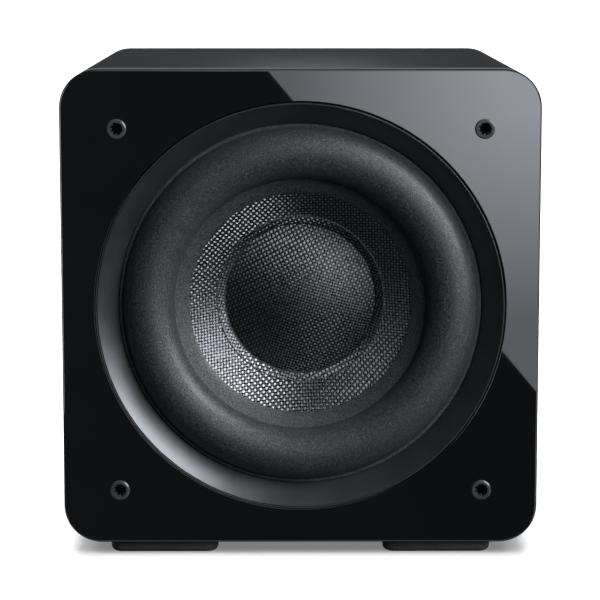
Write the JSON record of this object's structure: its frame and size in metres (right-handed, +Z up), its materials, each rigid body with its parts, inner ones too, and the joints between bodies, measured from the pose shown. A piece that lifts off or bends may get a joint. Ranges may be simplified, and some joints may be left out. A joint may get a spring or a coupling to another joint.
{
  "type": "powered subwoofer",
  "caption": "Compact sealed powered subwoofer: gloss baffle with a large woven-cone driver in a bevelled trim ring, grille sockets, rubber feet and a rear amplifier panel.",
  "frame": {"origin": "middle of the footprint, on the surface the feet stand on", "axes": "-Y out of the baffle towards the listener, +Y out of the amplifier panel, +Z up"},
  "size_m": [0.36, 0.4014, 0.371],
  "materials": {
    "gloss_lacquer": "high-gloss black lacquer on medium-density fibreboard",
    "satin_wrap": "satin dark grey wrap on medium-density fibreboard",
    "raw_board": "bare medium-density fibreboard",
    "batting": "loose polyester wadding",
    "foot_rubber": "matt moulded rubber",
    "socket_plastic": "moulded satin black",
    "trim_satin": "satin black anodised",
    "surround_rubber": "fine-grained matt rubber",
    "woven_fibre": "glossy woven glass fibre on black",
    "cast_alloy": "black powder-coated casting",
    "gasket_foam": "closed-cell foam",
    "black_steel": "black oxide",
    "zinc_steel": "bright zinc plate",
    "motor_steel": "black-passivated steel",
    "ferrite": "sintered ferrite",
    "copper_winding": "enamelled copper wire",
    "alloy_bare": "bare aluminium",
    "coil_former": "amber polyimide film",
    "spider_cloth": "resin-dipped cotton cloth",
    "braid": "tinned copper braid",
    "phenolic": "phenolic board",
    "lead_red": "red sleeve",
    "lead_black": "black sleeve",
    "amp_panel": "black anodised, brushed",
    "board_green": "solder-masked circuit board",
    "cover_steel": "galvanised sheet",
    "winding_wrap": "tape-wrapped winding",
    "capacitor_sleeve": "printed film sleeve",
    "nickel": "nickel plate",
    "insulator": "moulded",
    "black_plastic": "moulded black",
    "knob_plastic": "soft-touch black",
    "led_lens": "translucent blue lens",
    "fuse_glass": "glass tube with metal caps"
  },
  "bodies": {
    "cabinet": {"cabinet_wrap": "satin_wrap", "front_baffle": "gloss_lacquer", "inner_baffle": "raw_board", "rear_panel": "satin_wrap", "window_brace": "raw_board", "acoustic_lining": "batting", "foot_front_left": "foot_rubber", "foot_front_right": "foot_rubber", "foot_rear_left": "foot_rubber", "foot_rear_right": "foot_rubber", "foot_screws": "black_steel", "grille_socket_top_left": "socket_plastic", "grille_socket_top_right": "socket_plastic", "grille_socket_bottom_left": "socket_plastic", "grille_socket_bottom_right": "socket_plastic", "driver_gasket": "gasket_foam", "basket": "cast_alloy", "basket_screws": "black_steel", "tee_nuts": "zinc_steel", "trim_ring": "trim_satin", "terminal_block": "phenolic", "top_plate": "motor_steel", "magnet_ring_front": "ferrite", "magnet_ring_rear": "ferrite", "yoke": "motor_steel", "shorting_ring": "alloy_bare", "magnet_boot": "foot_rubber", "speaker_lead_positive": "lead_red", "speaker_lead_negative": "lead_black", "amp_plate": "amp_panel", "amp_gasket": "gasket_foam", "heat_sink": "amp_panel", "amp_screws": "black_steel", "amp_cover": "cover_steel", "amp_board": "board_green", "transformer": "winding_wrap", "filter_capacitors": "capacitor_sleeve", "rca_jacks": "nickel", "rca_insulators": "insulator", "trigger_jack": "black_plastic", "iec_inlet": "black_plastic", "iec_pins": "nickel", "status_led": "led_lens", "control_pots": "nickel", "toggle_switch_body": "nickel", "rocker_housing": "black_plastic"},
    "cone_assembly": {"cone": "woven_fibre", "dust_cap": "woven_fibre", "voice_coil_former": "coil_former", "voice_coil": "copper_winding", "surround": "surround_rubber", "spider": "spider_cloth", "tinsel_leads": "braid"},
    "gain_knob": {"gain_knob": "knob_plastic"},
    "crossover_knob": {"crossover_knob": "knob_plastic"},
    "phase_knob": {"phase_knob": "knob_plastic"},
    "mode_toggle": {"mode_toggle": "nickel"},
    "power_rocker": {"power_rocker": "black_plastic"},
    "fuse_drawer": {"fuse_drawer": "black_plastic", "fuse": "fuse_glass"}
  },
  "joints": [
    {"name": "cone_excursion", "type": "slide", "parent": "cabinet", "child": "cone_assembly", "axis": [0, -1, 0], "range_m": [-0.012, 0.012], "stiffness_N_per_m": 4000, "deforming": ["surround", "spider", "tinsel_leads"]},
    {"name": "gain_knob_turn", "type": "hinge", "parent": "cabinet", "child": "gain_knob", "pos_m": [0.084, 0.18975, 0.183], "axis": [0, 1, 0], "range_deg": [-150, 150]},
    {"name": "crossover_knob_turn", "type": "hinge", "parent": "cabinet", "child": "crossover_knob", "pos_m": [0.036, 0.18975, 0.183], "axis": [0, 1, 0], "range_deg": [-150, 150]},
    {"name": "phase_knob_turn", "type": "hinge", "parent": "cabinet", "child": "phase_knob", "pos_m": [-0.012, 0.18975, 0.183], "axis": [0, 1, 0], "range_deg": [-150, 150]},
    {"name": "mode_toggle_tilt", "type": "hinge", "parent": "cabinet", "child": "mode_toggle", "pos_m": [-0.058, 0.19025, 0.183], "axis": [1, 0, 0], "range_deg": [-12, 12]},
    {"name": "power_rocker_tilt", "type": "hinge", "parent": "cabinet", "child": "power_rocker", "pos_m": [-0.028, 0.18675, 0.099], "axis": [-1, 0, 0], "range_deg": [0, 16]},
    {"name": "fuse_drawer_slide", "type": "slide", "parent": "cabinet", "child": "fuse_drawer", "axis": [0, 1, 0], "range_m": [0, 0.018]}
  ]
}
